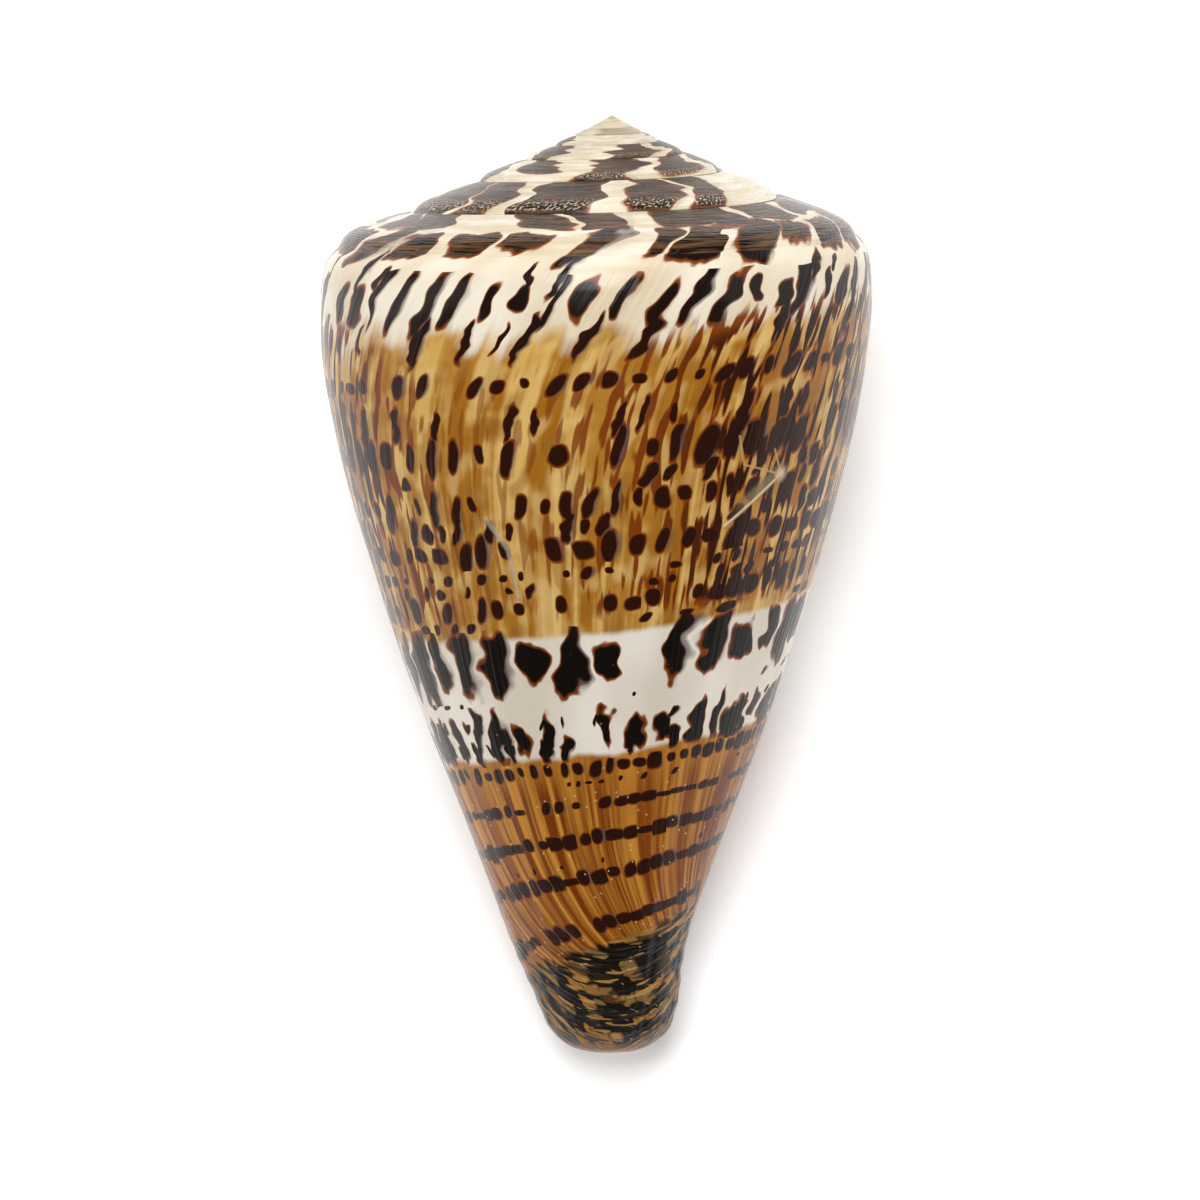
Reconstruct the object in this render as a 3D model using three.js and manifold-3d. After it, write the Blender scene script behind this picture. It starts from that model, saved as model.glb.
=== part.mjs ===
// Cone shell: one piece grown as a right-handed spiral, lying on the floor with its mouth down.
// Lengths are millimetres. The shell is shaped upright about the axis of its spiral, apex at the
// top, then laid down with the apex towards +Y and the back of the body whorl uppermost.
import * as THREE from "three";
import Module from "manifold-3d";

const wasm = await Module();
wasm.setup();

const shellLength = 72; // apex to the tip of the siphonal end, along the axis
const shoulderRadius = 22.25; // widest half-width, at the left side of the body whorl
const growthPerTurn = 1.53; // how much wider each whorl is than the one before
const lateSlowing = 0.126; // the last whorl grows this much less (natural logarithm)
const lateSlowingTurns = 0.35; // over about this share of a turn
const lipAngle = 235; // degrees round the spiral from the right side to the edge of the lip
const turnsModelled = 7; // whorls from the first one shown to the lip
const stepsPerTurn = 48;

const spireSlope = 0.5; // drop of the shoulder line per unit of radius
const apexRise = 0.46; // the first whorls stand this much higher
const apexRiseRadius = 3.1; // and the extra rise dies away over this radius

const wall = 1.6; // thickness of the body whorl
const lipWall = 1.0; // thickness at the edge of the lip
const cavityDegrees = 325; // how far the hollow winds back from the lip
const glaze = 0.25; // callus left on the inner whorl along the mouth

const layTilt = 14.4; // degrees the apex end is raised when the shell rests on its mouth side
const layRoll = 5.8; // degrees the shell is rolled about its own axis

// Side of the whorl: share of the height from shoulder to tip, then the radius as a share of the
// shoulder radius half a turn before the lip side (early) and close to it (late).
const side = [
  [0.0, 0.986, 0.985], [0.03, 0.997, 0.997], [0.073, 0.998, 1.0], [0.124, 0.983, 0.993],
  [0.2, 0.942, 0.957], [0.277, 0.886, 0.909], [0.379, 0.799, 0.826], [0.481, 0.701, 0.737],
  [0.584, 0.594, 0.634], [0.686, 0.474, 0.522], [0.788, 0.356, 0.416], [0.845, 0.296, 0.358],
  [0.89, 0.268, 0.308], [0.923, 0.262, 0.268], [0.962, 0.226, 0.22], [0.984, 0.168, 0.17],
  [0.996, 0.08, 0.1], [1.0, 0.0, 0.0],
];
// Ramp of the whorl near its shoulder: radius and height above the shoulder level, in shoulder radii.
const rampOuter = [[0.862, 0.138], [0.915, 0.102]];
const suture = [0.94, 0.066]; // where the next whorl is laid on
const underSuture = [0.967, 0.042];
const rampRise = 0.012; // the ramp bulges up this much between its edges

const rad = THREE.MathUtils.degToRad;

function shoulder(angle) {
  const back = (180 - angle) / 360;
  const drop = Math.log(growthPerTurn) * back - lateSlowing * (1 - Math.exp(-back / lateSlowingTurns));
  return shoulderRadius * Math.exp(-drop);
}

function shoulderLevel(radius) {
  return -(spireSlope * radius + apexRise * (1 - Math.exp(-radius / apexRiseRadius)));
}

function onWhorl(angle, pair) {
  const R = shoulder(angle);
  return [pair[0] * R, shoulderLevel(R) + pair[1] * R];
}

function tipLevel(angle) {
  const mouth = lipAngle - 360;
  return angle >= mouth ? -shellLength : -shellLength * Math.sqrt(shoulder(angle) / shoulder(mouth));
}

// One section of the whorl, from the suture on the whorl before, over the ramp, to the tip.
const rampCount = 5; // points before the one that becomes the next suture
function section(angle) {
  const R = shoulder(angle);
  const inner = onWhorl(angle - 360, suture);
  const outer = onWhorl(angle, rampOuter[0]);
  const points = [inner];
  for (const w of [0.33, 0.67]) {
    points.push([
      THREE.MathUtils.lerp(inner[0], outer[0], w),
      THREE.MathUtils.lerp(inner[1], outer[1], w) + 4 * w * (1 - w) * rampRise * R,
    ]);
  }
  points.push(outer, onWhorl(angle, rampOuter[1]), onWhorl(angle, suture), onWhorl(angle, underSuture));
  const late = THREE.MathUtils.clamp(angle / 180, -0.7, 1.15);
  const top = shoulderLevel(R);
  const bottom = tipLevel(angle);
  for (const [down, early, near] of side) {
    points.push([R * THREE.MathUtils.lerp(early, near, late), THREE.MathUtils.lerp(top, bottom, down)]);
  }
  return points;
}

function place(angle, [r, z]) {
  return [r * Math.cos(rad(angle)), -r * Math.sin(rad(angle)), z];
}

class Solid {
  constructor() {
    this.points = [];
    this.faces = [];
    this.known = new Map();
  }
  vertex(p) {
    const key = p.map((c) => Math.round(c * 1e5)).join(",");
    if (!this.known.has(key)) {
      this.known.set(key, this.points.length);
      this.points.push(p);
    }
    return this.known.get(key);
  }
  face(a, b, c) {
    if (a !== b && b !== c && c !== a) this.faces.push([a, b, c]);
  }
  strip(first, second) {
    for (let k = 0; k + 1 < first.length; k++) {
      this.face(first[k], second[k], second[k + 1]);
      this.face(first[k], second[k + 1], first[k + 1]);
    }
  }
  // A flat face in the half-plane at one angle, given as radius and height.
  cap(angle, outline, anticlockwise) {
    const ids = outline.map((p) => this.vertex(place(angle, p)));
    const flat = outline.map(([r, z]) => new THREE.Vector2(r, z));
    for (const [a, b, c] of THREE.ShapeUtils.triangulateShape(flat, [])) {
      const turned = THREE.ShapeUtils.area([flat[a], flat[b], flat[c]]) > 0;
      if (turned === anticlockwise) this.face(ids[a], ids[b], ids[c]);
      else this.face(ids[a], ids[c], ids[b]);
    }
  }
  manifold() {
    const mesh = new wasm.Mesh({
      numProp: 3,
      vertProperties: new Float32Array(this.points.flat()),
      triVerts: new Uint32Array(this.faces.flat()),
    });
    return new wasm.Manifold(mesh);
  }
}

// The grown body, before its hollow: ribbons wound from the apex to the lip.
const grown = new Solid();
const step = 360 / stepsPerTurn;
const firstAngle = lipAngle - 360 * turnsModelled;
const count = stepsPerTurn * turnsModelled;
const rows = [];
for (let i = 0; i <= count; i++) {
  const angle = firstAngle + i * step;
  const whole = section(angle);
  const shown = i >= count - stepsPerTurn ? whole : whole.slice(0, rampCount + 1);
  rows.push(shown.map((p) => grown.vertex(place(angle, p))));
}
for (let i = 0; i < count; i++) {
  const width = Math.min(rows[i].length, rows[i + 1].length);
  const short = i < count - stepsPerTurn;
  const n = short ? rampCount + 1 : width;
  grown.strip(rows[i].slice(0, n), rows[i + 1].slice(0, n));
}
const apex = grown.vertex([0, 0, section(firstAngle)[0][1] + 0.18]);
for (let i = 0; i < stepsPerTurn; i++) grown.face(apex, rows[i + 1][0], rows[i][0]);
for (let k = 0; k < rampCount; k++) grown.face(apex, rows[0][k], rows[0][k + 1]);
const lip = section(lipAngle);
const under = section(lipAngle - 360);
grown.cap(lipAngle, [...lip, ...under.slice(rampCount + 1, -1).reverse()], true);

function radiusAt(angle, z) {
  const s = section(angle).slice(rampCount);
  if (z >= s[0][1]) return s[0][0];
  for (let k = 0; k + 1 < s.length; k++) {
    if (z <= s[k][1] && z >= s[k + 1][1]) {
      const w = (s[k][1] - z) / (s[k][1] - s[k + 1][1]);
      return THREE.MathUtils.lerp(s[k][0], s[k + 1][0], w);
    }
  }
  return 0;
}

// Section of the hollow: under the ramp, down inside the wall, and back up along the inner whorl.
function hollowSection(angle) {
  const s = section(angle);
  const inward = THREE.MathUtils.smoothstep(lipAngle - angle, 0, 30);
  const t = THREE.MathUtils.lerp(lipWall, wall, inward);
  const closing = THREE.MathUtils.smoothstep(angle, lipAngle - cavityDegrees, lipAngle - cavityDegrees + 60);
  const from = onWhorl(angle - 360, suture);
  const start = [0, from[1] - 1.25 * t];
  start[0] = radiusAt(angle - 360, start[1]) + glaze;
  const outer = [start];
  for (let k = 2; k < s.length - 7; k++) {
    const dr = s[k + 1][0] - s[k - 1][0];
    const dz = s[k + 1][1] - s[k - 1][1];
    const l = Math.hypot(dr, dz);
    const p = [s[k][0] + (dz / l) * t, s[k][1] - (dr / l) * t];
    p[1] = Math.min(p[1], start[1] - 0.04 * k);
    const rest = radiusAt(angle - 360, p[1]) + glaze;
    p[0] = rest + Math.max(0.35, (p[0] - rest) * THREE.MathUtils.lerp(0.15, 1, closing));
    outer.push(p);
  }
  const inner = outer.slice(5).map(([, z]) => [radiusAt(angle - 360, z - 0.6) + glaze, z - 0.6]);
  return [...outer, ...inner.reverse()];
}

const hollow = new Solid();
const hollowRows = [];
const hollowSteps = Math.round(cavityDegrees / step);
for (let i = 0; i <= hollowSteps; i++) {
  const angle = lipAngle + 2 - i * step;
  hollowRows.push([angle, hollowSection(angle)]);
}
const hollowIds = hollowRows.map(([angle, s]) => s.map((p) => hollow.vertex(place(angle, p))));
for (let i = 0; i + 1 < hollowIds.length; i++) {
  hollow.strip([...hollowIds[i], hollowIds[i][0]], [...hollowIds[i + 1], hollowIds[i + 1][0]]);
}
hollow.cap(hollowRows[0][0], hollowRows[0][1], false);
hollow.cap(hollowRows.at(-1)[0], hollowRows.at(-1)[1], true);

// The siphonal canal: an oval channel down the lower end, open towards the mouth side.
const canal = new Solid();
const canalTop = -57;
const canalBottom = -shellLength - 4;
const canalAngle = 252;
const canalRings = [];
for (let i = 0; i <= 8; i++) {
  const w = i / 8;
  const z = THREE.MathUtils.lerp(canalTop, canalBottom, w);
  const grow = THREE.MathUtils.smoothstep(w, 0, 0.6);
  const long = THREE.MathUtils.lerp(0.8, 5.2, grow);
  const wide = THREE.MathUtils.lerp(0.5, 2.7, grow);
  const out = THREE.MathUtils.lerp(6.2, 4.6, grow);
  const ring = [];
  for (let k = 0; k < 20; k++) {
    const a = (2 * Math.PI * k) / 20;
    const along = out + long * Math.cos(a);
    const across = wide * Math.sin(a);
    const c = Math.cos(rad(canalAngle));
    const n = -Math.sin(rad(canalAngle));
    ring.push(canal.vertex([along * c - across * n, along * n + across * c, z]));
  }
  canalRings.push(ring);
}
for (let i = 0; i < 8; i++) {
  canal.strip([...canalRings[i], canalRings[i][0]], [...canalRings[i + 1], canalRings[i + 1][0]]);
}
for (const [ring, flip] of [[canalRings[0], false], [canalRings[8], true]]) {
  for (let k = 1; k < 19; k++) {
    if (flip) canal.face(ring[0], ring[k + 1], ring[k]);
    else canal.face(ring[0], ring[k], ring[k + 1]);
  }
}

function outward(solid) {
  let m = solid.manifold();
  if (m.volume() < 0) {
    solid.faces = solid.faces.map(([a, b, c]) => [a, c, b]);
    m = solid.manifold();
  }
  return m;
}

const shellSolid = outward(grown).subtract(outward(hollow)).subtract(outward(canal));
const cut = shellSolid.getMesh();
const positions = [];
for (let i = 0; i < cut.vertProperties.length; i += cut.numProp) {
  positions.push(cut.vertProperties[i], cut.vertProperties[i + 1], cut.vertProperties[i + 2]);
}
const geometry = new THREE.BufferGeometry();
geometry.setAttribute("position", new THREE.Float32BufferAttribute(positions, 3));
geometry.setIndex([...cut.triVerts]);

geometry.rotateZ(rad(layRoll));
geometry.rotateX(rad(-90 + layTilt));
geometry.computeBoundingBox();
const box = geometry.boundingBox;
geometry.translate(-(box.min.x + box.max.x) / 2, -(box.min.y + box.max.y) / 2, -box.min.z);
geometry.computeVertexNormals();

const shell = new THREE.Mesh(
  geometry,
  new THREE.MeshStandardMaterial({ color: 0xd9c7a0, roughness: 0.35, metalness: 0 }),
);
shell.name = "shell";

const coneShell = new THREE.Group();
coneShell.name = "cone_shell";
coneShell.add(shell);
export default coneShell;
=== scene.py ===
"""Cone shell: one right-handed spiral of glossy, blotched shell, lying on its mouth on a white table."""
import math

import bpy
from mathutils import Matrix, Vector


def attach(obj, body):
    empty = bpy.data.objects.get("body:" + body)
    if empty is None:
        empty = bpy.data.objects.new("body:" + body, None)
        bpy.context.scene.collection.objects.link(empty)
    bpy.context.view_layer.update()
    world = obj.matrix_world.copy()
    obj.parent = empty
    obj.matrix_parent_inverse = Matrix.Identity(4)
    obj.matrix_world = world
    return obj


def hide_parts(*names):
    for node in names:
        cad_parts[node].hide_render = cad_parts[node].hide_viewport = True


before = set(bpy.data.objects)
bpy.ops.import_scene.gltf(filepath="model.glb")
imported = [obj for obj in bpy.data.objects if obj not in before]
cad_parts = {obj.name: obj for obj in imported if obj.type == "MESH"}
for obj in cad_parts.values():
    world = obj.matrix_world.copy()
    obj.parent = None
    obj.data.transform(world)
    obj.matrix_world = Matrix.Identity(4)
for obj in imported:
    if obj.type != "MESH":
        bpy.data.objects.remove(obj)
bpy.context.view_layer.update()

# ---------------------------------------------------------------------------------------------
# The shell. One piece of aragonite, grown by the animal as a wall wound round an axis: each new
# whorl is laid on the shoulder of the one before, so the ramp of every whorl stays in sight and
# the side of the last one runs down to the siphonal tip. The rule of growth winds it here.
# ---------------------------------------------------------------------------------------------
shell_length = 72.0  # mm, apex to siphonal tip
shoulder_radius = 22.25
growth_per_turn = 1.53
late_slowing = 0.126  # natural logarithm of what the last whorl falls short of that growth
late_slowing_turns = 0.35
lip_turn = 235 / 360  # from the right side round to the edge of the lip
turns_shown = 8
steps_per_turn = 264
ramp_rows = 12
side_rows = 170
side_crowding = 1.5  # how much closer together the rows of the side stand near the suture
spire_slope = 0.5
apex_rise = 0.46
apex_rise_radius = 3.1
suture_out = 0.94  # where the next whorl is laid on: radius and height in shoulder radii
suture_up = 0.066
wall = 1.6
lip_wall = 0.7
glaze = 0.25
hollow_turns = 0.88
lay_tilt = 14.4  # degrees; the lip, the mouth side and the tip then touch the table
lay_roll = 5.8

# Share of the way down the side, then the radius in shoulder radii: early in the last turn, late.
side_early = [
    (0, 0.94), (0.009, 0.968), (0.02, 0.985), (0.048, 0.997), (0.09, 0.996), (0.14, 0.979),
    (0.215, 0.942), (0.29, 0.886), (0.39, 0.799), (0.49, 0.701), (0.592, 0.594), (0.692, 0.474),
    (0.792, 0.356), (0.848, 0.296), (0.892, 0.268), (0.924, 0.26), (0.963, 0.228), (0.984, 0.17),
    (0.996, 0.085), (1, 0),
]
side_late = [
    (0, 0.94), (0.009, 0.966), (0.02, 0.983), (0.048, 0.997), (0.09, 1.0), (0.14, 0.993),
    (0.215, 0.957), (0.29, 0.909), (0.39, 0.826), (0.49, 0.737), (0.592, 0.634), (0.692, 0.522),
    (0.792, 0.416), (0.848, 0.358), (0.892, 0.308), (0.924, 0.268), (0.963, 0.222), (0.984, 0.172),
    (0.996, 0.1), (1, 0),
]
# How far the ramp stands above a straight line between its two sutures, in shoulder radii.
ramp_hump = [
    (0, 0), (0.03, 0.009), (0.1, 0.017), (0.25, 0.024), (0.46, 0.031), (0.69, 0.037), (0.86, 0.034),
    (0.95, 0.019), (1, 0),
]


class Value:
    """A value passing through a node tree, so that a rule can be written as a formula."""

    def __init__(self, tree, socket):
        self.tree = tree
        self.socket = socket

    def step(self, operation, *others, clamp=False):
        node = self.tree.nodes.new("ShaderNodeMath")
        node.operation = operation
        node.use_clamp = clamp
        for value, socket in zip((self, *others), node.inputs):
            plug(value, socket)
        return Value(self.tree, node.outputs[0])

    def __add__(self, other):
        return self.step("ADD", other)

    def __sub__(self, other):
        return self.step("SUBTRACT", other)

    def __mul__(self, other):
        return self.step("MULTIPLY", other)

    def __truediv__(self, other):
        return self.step("DIVIDE", other)

    def less_from(self, whole):
        return (self * -1.0) + whole

    def exp(self):
        return self.step("EXPONENT")

    def power(self, other):
        return self.step("POWER", other)

    def at_least(self, other):
        return self.step("MAXIMUM", other)

    def at_most(self, other):
        return self.step("MINIMUM", other)

    def smooth(self, low, high):
        node = self.tree.nodes.new("ShaderNodeMapRange")
        node.interpolation_type = "SMOOTHSTEP"
        plug(self, node.inputs["Value"])
        if low > high:
            low, high = high, low
            node.inputs["To Min"].default_value = 1.0
            node.inputs["To Max"].default_value = 0.0
        node.inputs["From Min"].default_value = low
        node.inputs["From Max"].default_value = high
        return Value(self.tree, node.outputs["Result"])

    def toward(self, other, share):
        """This value, moved towards another one by a share of the way."""
        if isinstance(other, Value):
            return self + (other - self) * share
        return self + (self.less_from(other)) * share

    def curve(self, points):
        node = self.tree.nodes.new("ShaderNodeFloatCurve")
        line = node.mapping.curves[0]
        node.mapping.use_clip = False
        while len(line.points) < len(points):
            line.points.new(0.5, 0.5)
        for point, place in zip(line.points, points):
            point.location = place
        node.mapping.update()
        plug(self, node.inputs["Value"])
        return Value(self.tree, node.outputs[0])


def plug(value, socket):
    """Joins a value to a socket, or sets the socket to a plain number, colour or name."""
    if isinstance(value, Value):
        value.tree.links.new(value.socket, socket)
    elif value is not None:
        socket.default_value = value


def node_of(tree, kind, settings=None, **inputs):
    node = tree.nodes.new(kind)
    for name, value in (settings or {}).items():
        setattr(node, name, value)
    for name, value in inputs.items():
        plug(value, node.inputs[name.replace("_", " ")])
    return node


def vector_of(tree, x, y=0.0, z=0.0):
    node = tree.nodes.new("ShaderNodeCombineXYZ")
    for value, socket in zip((x, y, z), node.inputs):
        plug(value, socket)
    return Value(tree, node.outputs[0])


def noise_of(tree, x, y, seed=0.0, detail=2.0, roughness=0.5):
    """Smooth unevenness, 0 to 1, over two values; each seed has its own far-off patch of it."""
    node = node_of(tree, "ShaderNodeTexNoise", {"noise_dimensions": "2D"}, Scale=1.0, Detail=detail,
                   Vector=vector_of(tree, x, y + seed * 37.0), Roughness=roughness)
    return Value(tree, node.outputs[0])


def number_input(tree, name, default, kind="NodeSocketFloat"):
    socket = tree.interface.new_socket(name, in_out="INPUT", socket_type=kind)
    socket.default_value = default
    return socket


def whorl_rules(tree, sizes):
    """The growth rules, as functions of the turn, for use inside one node tree."""

    def shoulder(turn):
        back = turn.less_from(0.5)
        slowing = ((back / (-late_slowing_turns)).exp().less_from(1.0)) * late_slowing
        drop = back * math.log(growth_per_turn) - slowing
        first = sizes["lip turn"] - sizes["turns"]
        begun = (turn - first).step("MULTIPLY", 1.0, clamp=True).power(0.6)
        return (drop * -1.0).exp() * sizes["shoulder radius"] * begun

    def level(radius):
        rise = (radius / (-apex_rise_radius)).exp().less_from(1.0) * apex_rise
        return (radius * spire_slope + rise) * -1.0

    def suture(turn):
        radius = shoulder(turn)
        return radius * suture_out, level(radius) + radius * suture_up

    def tip(turn):
        ratio = shoulder(turn) / shoulder(sizes["lip turn"] - 1.0)
        return ratio.power(0.5).at_most(1.0) * sizes["length"] * -1.0

    def lateness(turn):
        return (turn * 2.0).at_least(-0.7).at_most(1.15)

    def side(turn, down):
        late = lateness(turn)
        share = down.curve(side_early).toward(down.curve(side_late), late)
        closed = (down.less_from(1.0) * 2000.0).at_most(1.0)
        radius = shoulder(turn) * share * closed
        top = suture(turn)[1]
        return radius, top.toward(tip(turn), down)

    def side_radius_at(turn, height):
        top = suture(turn)[1]
        down = (top - height) / (top - tip(turn))
        late = lateness(turn)
        down = down.at_least(0.0).at_most(1.0)
        return shoulder(turn) * down.curve(side_early).toward(down.curve(side_late), late)

    def ramp(turn, across):
        inner_radius, inner_height = suture(turn - 1.0)
        outer_radius, outer_height = suture(turn)
        hump = across.curve(ramp_hump) * shoulder(turn)
        radius = inner_radius.toward(outer_radius, across)
        return radius, inner_height.toward(outer_height, across) + hump

    return suture, side, side_radius_at, ramp


def place_on_turn(tree, turn, radius, height):
    angle = turn * (-2 * math.pi)
    return vector_of(tree, radius * angle.step("COSINE"), radius * angle.step("SINE"), height)


def growth_relief(tree, turn, down):
    """Uneven growth: faint steps across the turn, and cords round the siphonal end."""
    slow = (noise_of(tree, turn * 14.0, down * 0.8, 3.0) - 0.5) * 0.22
    quick = (noise_of(tree, turn * 75.0, down * 2.0, 7.0, 3.0) - 0.5) * 0.10
    cords = (down * 230.0).step("SINE") * down.smooth(0.72, 0.92) * 0.035
    window = down.smooth(0.0, 0.06) * down.smooth(1.0, 0.97)
    return (slow + quick + cords) * window


def sheet_of(tree, across_count, along_count):
    """A flat grid whose own two shares, along and across, are kept for the formulas."""
    grid = node_of(tree, "GeometryNodeMeshGrid", Size_X=1.0, Size_Y=1.0, Vertices_X=along_count,
                   Vertices_Y=across_count)
    flat = node_of(tree, "GeometryNodeInputPosition")
    axes = tree.nodes.new("ShaderNodeSeparateXYZ")
    tree.links.new(flat.outputs[0], axes.inputs[0])
    mesh = Value(tree, grid.outputs["Mesh"])
    for name, axis in (("along", 0), ("across", 1)):
        share = Value(tree, axes.outputs[axis]) + 0.5
        mesh = keep(tree, mesh, name, share, "POINT")
    shares = []
    for name in ("along", "across"):
        kept = node_of(tree, "GeometryNodeInputNamedAttribute", {"data_type": "FLOAT"}, Name=name)
        shares.append(Value(tree, kept.outputs["Attribute"]))
    return mesh, shares[0], shares[1]


def keep(tree, mesh, name, value, domain="CORNER", kind="FLOAT"):
    store = node_of(tree, "GeometryNodeStoreNamedAttribute", {"domain": domain, "data_type": kind},
                    Geometry=mesh, Name=name, Value=value)
    return Value(tree, store.outputs[0])


def bend_sheet(tree, mesh, position):
    node = node_of(tree, "GeometryNodeSetPosition", Geometry=mesh, Position=position)
    return Value(tree, node.outputs[0])


def turn_over(tree, mesh):
    return Value(tree, node_of(tree, "GeometryNodeFlipFaces", Mesh=mesh).outputs[0])


def weld(tree, *meshes):
    join = tree.nodes.new("GeometryNodeJoinGeometry")
    for mesh in meshes:
        tree.links.new(mesh.socket, join.inputs[0])
    node = node_of(tree, "GeometryNodeMergeByDistance", Geometry=Value(tree, join.outputs[0]),
                   Distance=0.001)
    return Value(tree, node.outputs[0])


def wind_shell():
    tree = bpy.data.node_groups.new("wind the shell", "GeometryNodeTree")
    tree.interface.new_socket("Geometry", in_out="OUTPUT", socket_type="NodeSocketGeometry")
    number_input(tree, "length", shell_length)
    number_input(tree, "shoulder radius", shoulder_radius)
    number_input(tree, "turns", float(turns_shown))
    number_input(tree, "lip turn", lip_turn)
    number_input(tree, "wall", wall)
    number_input(tree, "lip wall", lip_wall)
    number_input(tree, "steps per turn", steps_per_turn, "NodeSocketInt")
    start = tree.nodes.new("NodeGroupInput")
    sizes = {s.name: Value(tree, s) for s in start.outputs if s.name}
    suture, side, side_radius_at, ramp = whorl_rules(tree, sizes)
    steps = sizes["steps per turn"]
    lip = sizes["lip turn"]

    # The ramps of every whorl, one long ribbon from the apex to the lip.
    count = steps * sizes["turns"] + 1.0
    mesh, along, across = sheet_of(tree, ramp_rows + 1, count)
    turn = lip - sizes["turns"].step("MULTIPLY", along.less_from(1.0))
    mesh = keep(tree, mesh, "turn", turn)
    mesh = keep(tree, mesh, "down", across - 1.0)
    ramps = bend_sheet(tree, mesh, place_on_turn(tree, turn, *ramp(turn, across)))

    # The side of the last whorl, from its suture to the siphonal tip.
    mesh, along, across = sheet_of(tree, side_rows + 1, steps + 1.0)
    turn = lip - 1.0 + along
    down = (across.less_from(1.0).power(side_crowding)).less_from(1.0)
    mesh = keep(tree, mesh, "turn", turn)
    mesh = keep(tree, mesh, "down", down)
    radius, height = side(turn, down)
    radius = radius + growth_relief(tree, turn, down)
    sides = bend_sheet(tree, mesh, place_on_turn(tree, turn, radius, height))

    # The flat edge of the lip, from the last whorl in to the one it is laid on.
    mesh, along, across = sheet_of(tree, ramp_rows + side_rows + 1, 2)
    row = across * float(ramp_rows + side_rows)
    ramp_share = (row / ramp_rows).at_most(1.0)
    side_share = ((row - float(ramp_rows)) / side_rows).at_least(0.0)
    down = (side_share.less_from(1.0).power(side_crowding)).less_from(1.0)
    turn = lip - along
    on_side = (row - (ramp_rows + 0.5)).step("GREATER_THAN", 0.0).at_least(along)
    ramp_radius, ramp_height = ramp(turn, ramp_share)
    radius, height = side(turn, down)
    radius = radius + growth_relief(tree, turn, down)
    mesh = keep(tree, mesh, "inside", 1.0)
    edge = bend_sheet(tree, mesh, place_on_turn(
        tree, turn, ramp_radius.toward(radius, on_side), ramp_height.toward(height, on_side)))
    grown = weld(tree, ramps, sides, edge)
    return tree, grown, sizes, suture, side_radius_at


tree, grown, sizes, suture, side_radius_at = wind_shell()

# The hollow behind the mouth, between the last whorl and the one inside it, pinched shut all round.
hollow_rows = 60
hollow_columns = 120
hollow_past_lip = 0.012  # turns; it cuts through the edge of the lip and so opens the mouth
hollow_floor = 0.875  # share of the shell's length
narrowest_hollow = 0.3
hollow_sheets = []
for on_wall in (True, False):
    mesh, along, across = sheet_of(tree, hollow_rows, hollow_columns)
    turn = sizes["lip turn"] + hollow_past_lip - along * hollow_turns
    top = suture(turn - 1.0)[1] - sizes["wall"] * 1.25
    bottom = sizes["length"] * -hollow_floor
    height = top.toward(bottom, across)
    inner = side_radius_at(turn - 1.0, height) + glaze
    at_lip = (sizes["lip turn"] - turn).smooth(0.0, 0.09)
    thickness = sizes["lip wall"].toward(sizes["wall"], at_lip)
    room = (side_radius_at(turn, height) - thickness - inner).at_least(narrowest_hollow)
    ends = across.smooth(0.0, 0.03) * across.smooth(1.0, 0.97)
    ends = ends * along.smooth(0.0, 0.008) * along.smooth(1.0, 0.85)
    radius = inner + room * ends if on_wall else inner
    mesh = keep(tree, mesh, "inside", 1.0)
    mesh = bend_sheet(tree, mesh, place_on_turn(tree, turn, radius, height))
    hollow_sheets.append(turn_over(tree, mesh) if not on_wall else mesh)
hollow = weld(tree, *hollow_sheets)

# The siphonal canal, an oval groove down the lower end, open on the mouth side.
canal_turn = 252 / 360
canal_angle = canal_turn * 2 * math.pi
canal_off_axis = 4.7
canal_half_sizes = (5.2, 2.7, 15.0)
ball = node_of(tree, "GeometryNodeMeshUVSphere", Segments=48, Rings=32, Radius=1.0)
canal_mesh = keep(tree, Value(tree, ball.outputs["Mesh"]), "inside", 1.0)
canal_place = (canal_off_axis * math.cos(canal_angle), -canal_off_axis * math.sin(canal_angle),
               -shell_length)
canal = node_of(tree, "GeometryNodeTransform", Geometry=canal_mesh, Translation=canal_place,
                Rotation=(0.0, 0.0, -canal_angle), Scale=canal_half_sizes)

cut = node_of(tree, "GeometryNodeMeshBoolean", {"operation": "DIFFERENCE", "solver": "MANIFOLD"})
tree.links.new(grown.socket, cut.inputs["Mesh 1"])
tree.links.new(hollow.socket, cut.inputs["Mesh 2"])
tree.links.new(canal.outputs[0], cut.inputs["Mesh 2"])
whole = Value(tree, cut.outputs["Mesh"])

# The upright position is kept as an attribute, then the shell is laid down on the table and brought to
# metres.
where = node_of(tree, "GeometryNodeInputPosition")
whole = keep(tree, whole, "upright", Value(tree, where.outputs[0]), "POINT", "FLOAT_VECTOR")
metres_per_mm = 0.001
softest_crease = 38.0  # degrees; edges that bend more than this stay sharp
rolled = node_of(tree, "GeometryNodeTransform", Geometry=whole,
                 Rotation=(0.0, 0.0, math.radians(lay_roll)))
laid = node_of(tree, "GeometryNodeTransform", Geometry=Value(tree, rolled.outputs[0]),
               Rotation=(math.radians(lay_tilt - 90.0), 0.0, 0.0), Scale=(metres_per_mm,) * 3)
box = node_of(tree, "GeometryNodeBoundBox", Geometry=Value(tree, laid.outputs[0]))
low = tree.nodes.new("ShaderNodeSeparateXYZ")
high = tree.nodes.new("ShaderNodeSeparateXYZ")
tree.links.new(box.outputs["Min"], low.inputs[0])
tree.links.new(box.outputs["Max"], high.inputs[0])
shift = []
for axis in (0, 1):
    shift.append((Value(tree, low.outputs[axis]) + Value(tree, high.outputs[axis])) * -0.5)
shift = vector_of(tree, shift[0], shift[1], Value(tree, low.outputs[2]) * -1.0)
placed = node_of(tree, "GeometryNodeTransform", Geometry=Value(tree, laid.outputs[0]),
                 Translation=shift)
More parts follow.
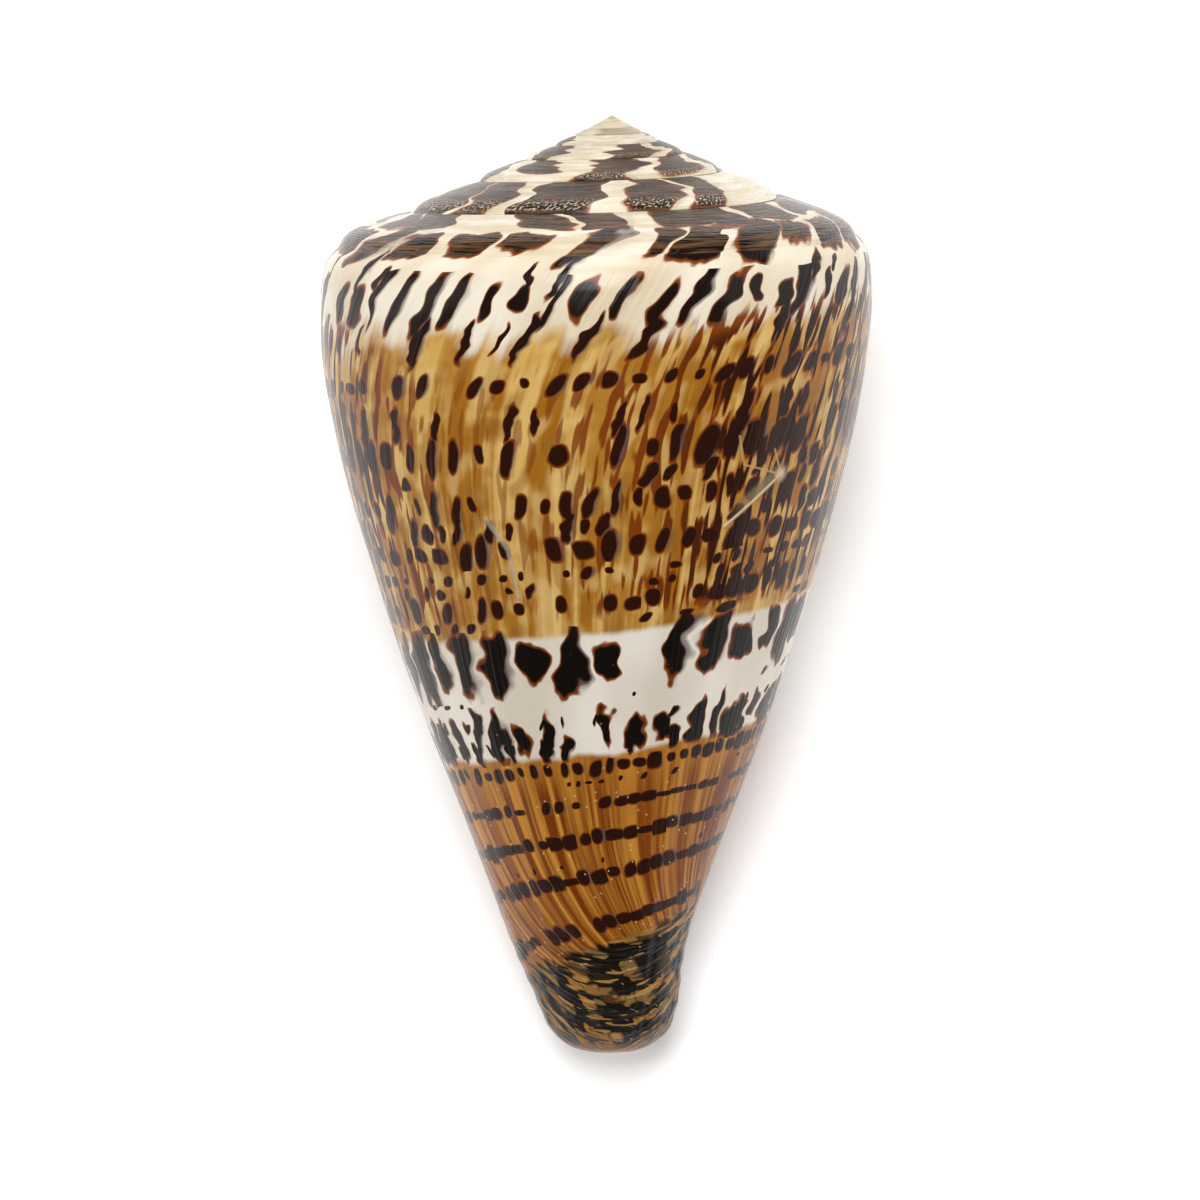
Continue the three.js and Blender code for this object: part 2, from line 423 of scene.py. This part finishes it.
smooth = node_of(tree, "GeometryNodeSetShadeSmooth", {"domain": "FACE"},
                 Geometry=Value(tree, placed.outputs[0]))
bend = node_of(tree, "GeometryNodeInputMeshEdgeAngle")
soft = Value(tree, bend.outputs["Unsigned Angle"]).step("LESS_THAN", math.radians(softest_crease))
crease = node_of(tree, "GeometryNodeSetShadeSmooth", {"domain": "EDGE"},
                 Geometry=Value(tree, smooth.outputs[0]), Shade_Smooth=soft)
real = node_of(tree, "GeometryNodeRealizeInstances", Geometry=Value(tree, crease.outputs[0]))
coat = node_of(tree, "GeometryNodeSetMaterial", Geometry=Value(tree, real.outputs[0]))
end = tree.nodes.new("NodeGroupOutput")
tree.links.new(coat.outputs[0], end.inputs[0])

shell_material = bpy.data.materials.new("glossy blotched shell")
shell_material.use_nodes = True
coat.inputs["Material"].default_value = shell_material

# The skin of the shell: bands of white, ochre and amber glaze, with marks the mantle laid down as
# the lip moved on. Every mark follows the lip's edge, so each is drawn against the age of the
# shell there, and against a height that slants a little as the bands do.
paint = shell_material.node_tree
paint.nodes.clear()


def colour(red, green, blue):
    """A glaze colour from its three screen values, 0 to 255."""
    parts = [part / 255 for part in (red, green, blue)]
    return tuple(p / 12.92 if p <= 0.04045 else ((p + 0.055) / 1.055) ** 2.4 for p in parts) + (1.0,)


def kept_value(name):
    node = node_of(paint, "ShaderNodeAttribute",
                   {"attribute_type": "GEOMETRY", "attribute_name": name})
    return Value(paint, node.outputs["Fac"])


def mix_glaze(share, under, over):
    node = node_of(paint, "ShaderNodeMix", {"data_type": "RGBA", "clamp_factor": True})
    for value, socket in ((share, node.inputs[0]), (under, node.inputs[6]), (over, node.inputs[7])):
        plug(value, socket)
    return Value(paint, node.outputs[2])


def rows_of_marks(along, height, wobbles, traits, power=2.4):
    """Spiral rows of marks. Gives the pigment, 0 to 1, and the grey haze on the older side."""
    centre, half_height, half_width, fill, ragged, seed = traits
    along = along + wobbles[0] * ragged
    cell = along.step("FLOOR")
    chance = node_of(paint, "ShaderNodeTexWhiteNoise", {"noise_dimensions": "2D"},
                     Vector=vector_of(paint, cell, seed))
    parts = node_of(paint, "ShaderNodeSeparateColor", Color=Value(paint, chance.outputs["Color"]))
    red, green, blue = (Value(paint, parts.outputs[i]) for i in range(3))
    width = (green * 0.75 + 0.62) * half_width
    tall = (blue * 0.9 + 0.55) * half_height
    shift = (green - red) * half_height * 0.5
    y = (height - centre - shift) / tall + wobbles[1] * ragged
    lean = y * (red - blue) * 0.13
    x = (along - cell - (red * 0.35 + 0.325) + lean) / width
    far = x.step("ABSOLUTE").power(power) + y.step("ABSOLUTE").power(power)
    there = Value(paint, chance.outputs["Value"]).step("LESS_THAN", fill)
    pigment = far.smooth(2.6, 0.35) * there
    aside = x + 0.95
    haze = (aside * aside + y * y * 0.9).smooth(1.7, 0.1) * there
    haze = haze * ((blue - 0.3) * 1.9).at_least(0.0)
    return pigment, haze.at_most(1.0)


def traits_by_height(height, rows):
    """The traits of whichever row a height belongs to: halfway to the next row is the border."""
    lift = 0.06  # keeps every height above nothing, as a row above the shoulder is below 0
    greatest = [1.0 + lift, 0.05, 100.0, 0.6, 1.0, 2.0, 40.0]
    traits = []
    for first in (0, 3, 6):
        node = node_of(paint, "ShaderNodeValToRGB", Fac=height + lift)
        ramp_line = node.color_ramp
        ramp_line.interpolation = "CONSTANT"
        while len(ramp_line.elements) < len(rows):
            ramp_line.elements.new(1.0)
        for i, row in enumerate(rows):
            lifted = (row[0] + lift, *row[1:])
            share = [value / most for value, most in zip(lifted, greatest)][first:first + 3]
            above = rows[i - 1]
            border = 0.0 if i == 0 else (above[0] + above[1] + row[0] - row[1]) / 2 + lift
            ramp_line.elements[i].position = border
            ramp_line.elements[i].color = (share + [0.0, 0.0])[:3] + [1.0]
        parts = node_of(paint, "ShaderNodeSeparateColor", Color=Value(paint, node.outputs["Color"]))
        for i, most in enumerate(greatest[first:first + 3]):
            traits.append(Value(paint, parts.outputs[i]) * most)
    traits[0] = traits[0] - lift
    return traits


turn = kept_value("turn")
down = kept_value("down")
inside = kept_value("inside")
on_ramp = down.step("LESS_THAN", 0.0)

# The edge of the lip is swept back on the ramp and the shoulder, and round the siphonal end.
sweep = ((down + 1.0) * 0.5).curve([
    (0, 0.060), (0.1, 0.066), (0.2, 0.070), (0.32, 0.070), (0.42, 0.064), (0.48, 0.057), (0.5, 0.053),
    (0.505, 0.048), (0.515, 0.042), (0.525, 0.036), (0.55, 0.024), (0.6, 0.008), (0.66, 0.0),
    (0.84, 0.0), (0.875, 0.01), (0.9, 0.03), (0.92, 0.06), (0.9375, 0.11), (0.95, 0.165),
    (0.9625, 0.25), (0.975, 0.37), (0.9875, 0.50), (1, 0.64),
])
age = turn + sweep
ramp_in_side_heights = 0.09
height = down.at_least(0.0) + down.at_most(0.0) * ramp_in_side_heights
slant = (turn - 0.25) * (down.smooth(0.6, 0.9) * 0.10 + down.smooth(0.1, 0.4) * 0.04 + 0.09)
band = height - slant * down.smooth(0.0, 0.12)

# Unevenness shared by everything that is painted here.
uneven = noise_of(paint, age * 40.0, down * 0.0, 1.5, 1.0) - 0.5  # the same all the way down
streak = noise_of(paint, age * 85.0, down * 2.4, 3.0, 2.0, 0.55)
fine_streak = noise_of(paint, age * 330.0, down * 3.5, 8.0, 1.0)
broad = noise_of(paint, age * 14.0, down * 5.0, 21.0, 2.0)
small_wobbles = (noise_of(paint, age * 60.0, band * 42.0, 4.0, 1.0) - 0.5,
                 noise_of(paint, age * 55.0, band * 36.0, 44.0, 1.0) - 0.5)
large_wobbles = (noise_of(paint, age * 40.0, band * 26.0, 14.0, 1.0) - 0.5,
                 noise_of(paint, age * 90.0, band * 40.0, 54.0, 1.0) - 0.5)

# Ground colour, zone by zone down the side.
streaky = streak + (fine_streak - 0.5) * 0.2
cream = mix_glaze(broad.smooth(0.35, 0.7), colour(226, 208, 176), colour(246, 236, 216))
drip = (streaky + (small_wobbles[0] + large_wobbles[0]) * 0.2).smooth(0.40, 0.72)
ochre = mix_glaze(drip, colour(166, 106, 22), colour(226, 186, 108))
ochre = mix_glaze(broad.smooth(0.42, 0.75) * 0.55, ochre, colour(200, 150, 64))
pools = noise_of(paint, age * 46.0, down * 17.0, 27.0, 1.0)
ochre = mix_glaze(pools.smooth(0.52, 0.70) * 0.5, ochre, colour(232, 198, 128))
ochre = mix_glaze(pools.smooth(0.46, 0.32) * 0.5, ochre, colour(150, 98, 36))
white = mix_glaze(broad.smooth(0.3, 0.75), colour(226, 214, 196), colour(246, 237, 222))
amber = mix_glaze(streaky.smooth(0.36, 0.74), colour(122, 56, 4), colour(206, 142, 54))
amber = mix_glaze(band.smooth(0.66, 0.61) * 0.55, amber, colour(196, 132, 44))
amber = mix_glaze(broad.smooth(0.5, 0.8) * 0.6, amber, colour(156, 84, 20))
ground_edge = band + uneven * 0.05 + (streak - 0.5) * 0.06 + large_wobbles[0] * 0.04
ground = mix_glaze(ground_edge.smooth(0.072, 0.108), cream, ochre)
ground = mix_glaze((band + uneven * 0.010).smooth(0.450, 0.460), ground, white)
ground = mix_glaze((band + uneven * 0.018).smooth(0.601, 0.610), ground, amber)

# Centre, half height, marks per turn, half width, how many, raggedness, seed.
main_rows = [
    (-0.014, 0.018, 26, 0.30, 0.90, 1.0, 1.0),
    (0.050, 0.024, 52, 0.16, 0.94, 0.8, 2.0),
    (0.147, 0.009, 62, 0.18, 0.90, 0.35, 3.0),
    (0.233, 0.017, 58, 0.23, 0.95, 0.4, 5.0),
    (0.291, 0.014, 66, 0.17, 0.72, 0.5, 6.0),
    (0.350, 0.013, 58, 0.24, 0.94, 0.35, 7.0),
    (0.379, 0.005, 66, 0.16, 0.60, 0.3, 8.0),
    (0.417, 0.011, 62, 0.22, 0.94, 0.3, 9.0),
    (0.484, 0.028, 34, 0.24, 0.84, 1.0, 10.0),
    (0.580, 0.024, 38, 0.23, 0.82, 1.2, 12.0),
    (0.622, 0.007, 66, 0.27, 0.92, 0.3, 13.0),
    (0.668, 0.005, 60, 0.38, 0.84, 0.3, 14.0),
    (0.711, 0.0065, 54, 0.43, 0.96, 0.3, 15.0),
    (0.760, 0.0065, 48, 0.47, 0.96, 0.3, 16.0),
    (0.822, 0.0075, 42, 0.47, 0.94, 0.3, 17.0),
]
spare_rows = [
    (0.020, 0.016, 60, 0.12, 0.30, 0.9, 21.0),
    (0.092, 0.020, 60, 0.15, 0.50, 0.7, 20.0),
    (0.190, 0.020, 64, 0.13, 0.50, 0.5, 22.0),
    (0.262, 0.009, 80, 0.18, 0.40, 0.7, 23.0),
    (0.320, 0.011, 80, 0.18, 0.50, 0.7, 24.0),
    (0.396, 0.006, 80, 0.18, 0.45, 0.7, 25.0),
    (0.440, 0.005, 60, 0.20, 0.30, 0.6, 26.0),
    (0.536, 0.003, 50, 0.10, 0.35, 0.6, 27.0),
    (0.563, 0.005, 60, 0.13, 0.40, 0.9, 28.0),
    (0.594, 0.010, 50, 0.20, 0.45, 0.9, 34.0),
    (0.640, 0.003, 90, 0.16, 0.30, 0.6, 29.0),
    (0.740, 0.003, 90, 0.14, 0.15, 0.6, 30.0),
]
# The marks crowd together on both flanks of the last whorl.
young_flank = turn.smooth(0.35, 0.45) * 0.9
flanks = (turn.smooth(0.32, 0.12) * turn.smooth(-0.2, -0.05)).at_least(young_flank)
pigment = haze = None
for rows, wobbles in ((main_rows, large_wobbles), (spare_rows, small_wobbles)):
    row_traits = traits_by_height(band + wobbles[0] * 0.012, rows)
    centre, half_height, per_turn, half_width, fill, ragged, seed = row_traits
    wide = half_width * (flanks * 0.45 + 1.0)
    mark, grey = rows_of_marks(age * per_turn, band, wobbles,
                               (centre, half_height, wide, fill, ragged, seed))
    pigment = mark if pigment is None else pigment.at_least(mark)
    haze = grey if haze is None else haze.at_least(grey)

# Blotches on the ramps keep their size as the whorls widen, so there are more to each turn.
ramp_along = ((age - 0.25) * 0.45).exp() * 44.0
ramp_wobbles = (noise_of(paint, ramp_along * 1.1, down * 2.5, 61.0, 1.0) - 0.5,
                noise_of(paint, ramp_along * 0.9, down * 2.0, 71.0, 1.0) - 0.5)
last_whorl = turn.smooth(-0.36, -0.33)
ramp_mark, ramp_haze = rows_of_marks(ramp_along, down, ramp_wobbles,
                                     (-0.6, 0.7, 0.33, 0.92, 0.7, 37.0), 3.2)
ramp_end = (down + ramp_wobbles[1] * 0.5).smooth(-0.38, -0.50).at_least(last_whorl.less_from(1.0))
pigment = (pigment * last_whorl).at_least(ramp_mark * on_ramp * ramp_end)
haze = (haze * last_whorl).at_least(ramp_haze * on_ramp * 0.3)

# Wavy lines down the ochre zone, closer and darker on the flanks.
wavy = noise_of(paint, age * 170.0, down * 16.0, 14.0, 1.0, 0.5)
in_ochre = (band + flanks * 0.06).smooth(0.10, 0.16) * band.smooth(0.45, 0.42)
lines = (wavy + flanks * 0.055 + broad * 0.12 - 0.56).smooth(0.02, 0.16) * in_ochre
pigment = pigment.at_least(lines * (flanks * 0.64 + 0.24))

# The pigment is amber where thin and nearly black where thick.
thin = mix_glaze(pigment.smooth(0.02, 0.42), ground, colour(132, 62, 10))
in_white = band.smooth(0.43, 0.47) * band.smooth(0.63, 0.6)
core = mix_glaze(in_white, colour(44, 16, 4), colour(16, 10, 6))
core = mix_glaze(band.smooth(0.13, 0.05), core, colour(24, 12, 6))
hazed = mix_glaze(haze * 0.75, thin, colour(88, 82, 80))
glazed = mix_glaze(pigment.smooth(0.46, 0.80), hazed, core)

# Ramps: the dark patches are worn to a fibrous brown, and their lower edges to grit.
fibre = noise_of(paint, ramp_along * 1.2, down * 22.0, 81.0, 2.0, 0.6)
worn = fibre.smooth(0.40, 0.64) * pigment.smooth(0.5, 0.8) * on_ramp
glazed = mix_glaze(worn * 0.75, glazed, colour(112, 74, 34))
grit = noise_of(paint, age * 400.0, down * 40.0, 91.0, 1.0)
grit = grit.smooth(0.55, 0.68) * down.smooth(-0.32, -0.1) * down.smooth(-0.02, -0.08)
glazed = mix_glaze(grit * turn.smooth(-0.2, -0.6) * 0.85, glazed, colour(226, 214, 192))
first_whorls = turn.smooth(lip_turn - 4.8, lip_turn - 5.8)
glazed = mix_glaze(first_whorls * 0.8, glazed, colour(232, 216, 184))
# Painted shade: a dark line along every suture groove between the whorls, on both sides of the groove.
outer_suture_shade = down.smooth(-0.02, -0.002) * turn.smooth(-0.34, -0.36)
suture_shade = (down.smooth(-0.94, -0.99) * on_ramp).at_least(outer_suture_shade)
glazed = mix_glaze(suture_shade * 0.85, glazed, colour(46, 32, 20))

# The siphonal end: rough and dark, with tan patches strung along arcs that sag round the tip.
round_tip = (turn - 0.25).at_least(-0.35).at_most(0.35)
sagging = (down + round_tip * round_tip * 1.5) * 84.0
arc = sagging + (broad - 0.5) * 1.6
patch = node_of(paint, "ShaderNodeTexVoronoi", {"distance": "CHEBYCHEV", "voronoi_dimensions": "2D"},
                Vector=vector_of(paint, turn * 30.0 + arc * 0.35, arc), Scale=1.0, Randomness=0.75)
tint = node_of(paint, "ShaderNodeSeparateColor", Color=Value(paint, patch.outputs["Color"]))
tan_share = Value(paint, tint.outputs[0]).smooth(0.48, 0.60)
tan_share = tan_share * Value(paint, patch.outputs["Distance"]).smooth(0.60, 0.34)
tan = mix_glaze(Value(paint, tint.outputs[1]), colour(178, 116, 44), colour(128, 104, 58))
base = mix_glaze(tan_share * (fine_streak * 0.9 + 0.5), colour(24, 14, 5), tan)
arc_line = noise_of(paint, turn * 14.0, sagging * 1.7, 33.0, 1.0)
base = mix_glaze(arc_line.smooth(0.56, 0.64) * 0.8, base, colour(16, 9, 4))
base = mix_glaze(arc_line.smooth(0.36, 0.31) * 0.7, base, colour(196, 148, 84))
base = mix_glaze(down.smooth(0.978, 0.988), base, colour(140, 80, 26))
tip_rim = (down + small_wobbles[0] * 0.006).smooth(0.9935, 0.9955)
base = mix_glaze(tip_rim, base, colour(236, 206, 150))
base_edge = (band + uneven * 0.02 + small_wobbles[0] * 0.012).smooth(0.842, 0.852)
glazed = mix_glaze(base_edge, glazed, base)


def off_line(x, y, start, end):
    """Distance in mm from a straight scratch, the side it lies on, and the share of the way along."""
    run = (end[0] - start[0], end[1] - start[1])
    length = math.hypot(*run)
    unit = (run[0] / length, run[1] / length)
    along = ((x - start[0]) * unit[0] + (y - start[1]) * unit[1]).at_least(0.0).at_most(length)
    gap_x = x - start[0] - along * unit[0]
    gap_y = y - start[1] - along * unit[1]
    side_of = gap_x * -unit[1] + gap_y * unit[0]
    return (gap_x * gap_x + gap_y * gap_y).power(0.5), side_of, along / length


# A healed break: a ridge run up to a glassy bead, with a pale flap of shell beside it, and cracks.
# Here x and y are mm along the turn and down the side from the middle of the bead.
scar_turn = 0.1325
scar_down = 0.272
girth_there = 103.7  # mm round the shell
side_there = 62.0  # mm from the suture to the tip
scar_x = (turn - scar_turn) * girth_there
scar_y = (down - scar_down) * side_there
ridge, flap_side, ridge_share = off_line(scar_x, scar_y, (0.0, 0.0), (4.2, 3.6))
crack = off_line(scar_x, scar_y, (0.2, -0.1), (3.3, -1.0))[0]
crack_end = off_line(scar_x, scar_y, (3.3, -1.0), (3.9, -3.2))[0]
crack_top = off_line(scar_x, scar_y, (0.1, -0.3), (0.9, -2.0))[0]
bead = (scar_x * scar_x + scar_y * scar_y).power(0.5).smooth(0.75, 0.1)
flap = flap_side.smooth(0.1, -0.1) * ridge.smooth(1.1, 0.5)
flap = flap * ridge_share.smooth(0.95, 0.4)
ridge_line = ridge.smooth(0.20, 0.03)
cracks = crack.at_most(crack_end).at_most(crack_top).smooth(0.12, 0.03)
glazed = mix_glaze(flap * 0.75, glazed, colour(134, 118, 92))
glazed = mix_glaze(ridge_line.at_least(bead) * 0.9, glazed, colour(230, 208, 164))
glazed = mix_glaze(cracks * 0.7, glazed, colour(206, 164, 98))

# A step where the lip was chipped and grew on, with a light edge.
step_turn = 0.332
step_down = 0.317
step_girth = 110.0
step_side = 61.4
step_x = (turn - step_turn) * step_girth
step_y = (down - step_down) * step_side
upper = off_line(step_x, step_y, (0.0, 0.0), (-1.35, 2.2))[0]
lower = off_line(step_x, step_y, (-1.35, 2.2), (-1.7, 5.9))[0]
chip = upper.at_most(lower + 0.05).smooth(0.30, 0.10)
glazed = mix_glaze(chip * 0.6, glazed, colour(190, 176, 150))

# A few pale specks in the amber, and the plain pale lining of the mouth.
specks = node_of(paint, "ShaderNodeTexVoronoi", {"voronoi_dimensions": "2D"},
                 Vector=vector_of(paint, age * 90.0, down * 80.0), Scale=1.0, Randomness=1.0)
speck_kind = node_of(paint, "ShaderNodeSeparateColor", Color=Value(paint, specks.outputs["Color"]))
speck = Value(paint, specks.outputs["Distance"]).smooth(0.12, 0.05)
speck = speck * Value(paint, speck_kind.outputs[0]).step("GREATER_THAN", 0.86)
glazed = mix_glaze(speck * down.smooth(0.45, 0.75) * 0.7, glazed, colour(240, 222, 186))
glazed = mix_glaze(inside, glazed, colour(226, 214, 198))

# Growth lines stand up a little, most at the siphonal end, and the shoulder is wrinkled.
relief = (fine_streak - 0.5) * 0.5 + arc_line * down.smooth(0.83, 0.87) * -2.5
wrinkle = noise_of(paint, age * 70.0, down * 55.0, 5.0, 0.0)
relief = relief + wrinkle * height.smooth(0.05, 0.0) * 1.6
relief = relief + ridge_line * 2.5 + bead * 4.0 + chip * 1.5
bump = node_of(paint, "ShaderNodeBump", Strength=0.5, Distance=0.00018, Height=relief)
shader = node_of(paint, "ShaderNodeBsdfPrincipled", Base_Color=glazed,
                 Normal=Value(paint, bump.outputs[0]))
shader.inputs["Roughness"].default_value = 0.26
shader.inputs["Specular IOR Level"].default_value = 0.13
shader.inputs["IOR"].default_value = 1.54
shader.inputs["Coat Weight"].default_value = 0.11
shader.inputs["Coat Roughness"].default_value = 0.09
surface = paint.nodes.new("ShaderNodeOutputMaterial")
paint.links.new(shader.outputs[0], surface.inputs[0])

seed_mesh = bpy.data.meshes.new("shell seed")
grower = bpy.data.objects.new("shell grower", seed_mesh)
bpy.context.scene.collection.objects.link(grower)
winding = grower.modifiers.new("winding", "NODES")
winding.node_group = tree
graph = bpy.context.evaluated_depsgraph_get()
shell_mesh = bpy.data.meshes.new_from_object(grower.evaluated_get(graph))
grower.modifiers.remove(winding)
bpy.data.objects.remove(grower)
shell_mesh.name = "shell"
shell = bpy.data.objects.new("cone_shell", shell_mesh)
bpy.context.scene.collection.objects.link(shell)
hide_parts("shell")
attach(shell, "root")

# ---------------------------------------------------------------------------------------------
# The table: a matt white sheet, bright and evenly lit, that takes a soft shadow.
# ---------------------------------------------------------------------------------------------
table_mesh = bpy.data.meshes.new("table")
reach = 3.0
table_mesh.from_pydata(
    [(-reach, -reach, 0), (reach, -reach, 0), (reach, reach, 0), (-reach, reach, 0)],
    [], [(0, 1, 2, 3)])
table = bpy.data.objects.new("table", table_mesh)
bpy.context.scene.collection.objects.link(table)
table_material = bpy.data.materials.new("matt white table")
table_material.use_nodes = True
table_finish = table_material.node_tree.nodes["Principled BSDF"]
table_finish.inputs["Base Color"].default_value = (0.96, 0.96, 0.96, 1.0)
table_finish.inputs["Emission Color"].default_value = (1.0, 1.0, 1.0, 1.0)
table_finish.inputs["Emission Strength"].default_value = 0.35
table_finish.inputs["Roughness"].default_value = 0.9
table_finish.inputs["Specular IOR Level"].default_value = 0.1
table_mesh.materials.append(table_material)

# ---------------------------------------------------------------------------------------------
# Camera and lamps. The camera looks down square to the shell's axis, from a little to the apex
# side. A wide soft lamp hangs overhead, one stands beyond the apex, and two are low at the sides.
# ---------------------------------------------------------------------------------------------
tilted = Matrix.Rotation(math.radians(lay_tilt - 90), 3, "X")
laid_down = tilted @ Matrix.Rotation(math.radians(lay_roll), 3, "Z")
view_lift = math.radians(5.0)
sight = laid_down @ Vector((0.0, -math.cos(view_lift), math.sin(view_lift)))
head_up = laid_down @ Vector((0.0, math.sin(view_lift), math.cos(view_lift)))
aim = Vector((0.0007, -0.0016, 0.017))
camera_distance = 0.72
camera_data = bpy.data.cameras.new("camera")
camera_data.lens = 284
camera_data.sensor_width = 36
camera_data.clip_end = 20
camera = bpy.data.objects.new("camera", camera_data)
bpy.context.scene.collection.objects.link(camera)
back = sight.normalized()
right = head_up.cross(back).normalized()
up = back.cross(right)
turned = Matrix((right, up, back)).transposed().to_4x4()
camera.matrix_world = Matrix.Translation(aim + back * camera_distance) @ turned
bpy.context.scene.camera = camera

world = bpy.data.worlds.new("white room")
world.use_nodes = True
sky = world.node_tree.nodes["Background"]
sky.inputs["Color"].default_value = (1, 1, 1, 1)
sky.inputs["Strength"].default_value = 0.13
bpy.context.scene.world = world


def soft_lamp(name, place, size, power):
    lamp_data = bpy.data.lights.new(name, "AREA")
    lamp_data.shape = "RECTANGLE"
    lamp_data.size, lamp_data.size_y = size
    lamp_data.energy = power
    lamp = bpy.data.objects.new(name, lamp_data)
    bpy.context.scene.collection.objects.link(lamp)
    toward = Vector((0, 0, 0.02)) - Vector(place)
    lamp.rotation_euler = toward.to_track_quat("-Z", "Y").to_euler()
    lamp.location = place


soft_lamp("lamp overhead", (0.0, 0.22, 1.28), (0.6, 0.6), 12.7)
soft_lamp("lamp beyond the apex", (0.05, 0.85, 0.65), (0.5, 0.3), 3.2)
soft_lamp("lamp on the left", (-0.95, 0.05, 0.28), (0.3, 0.9), 1.3)
soft_lamp("lamp on the right", (0.95, 0.05, 0.28), (0.3, 0.9), 1.1)
bpy.context.scene.view_settings.view_transform = "Standard"
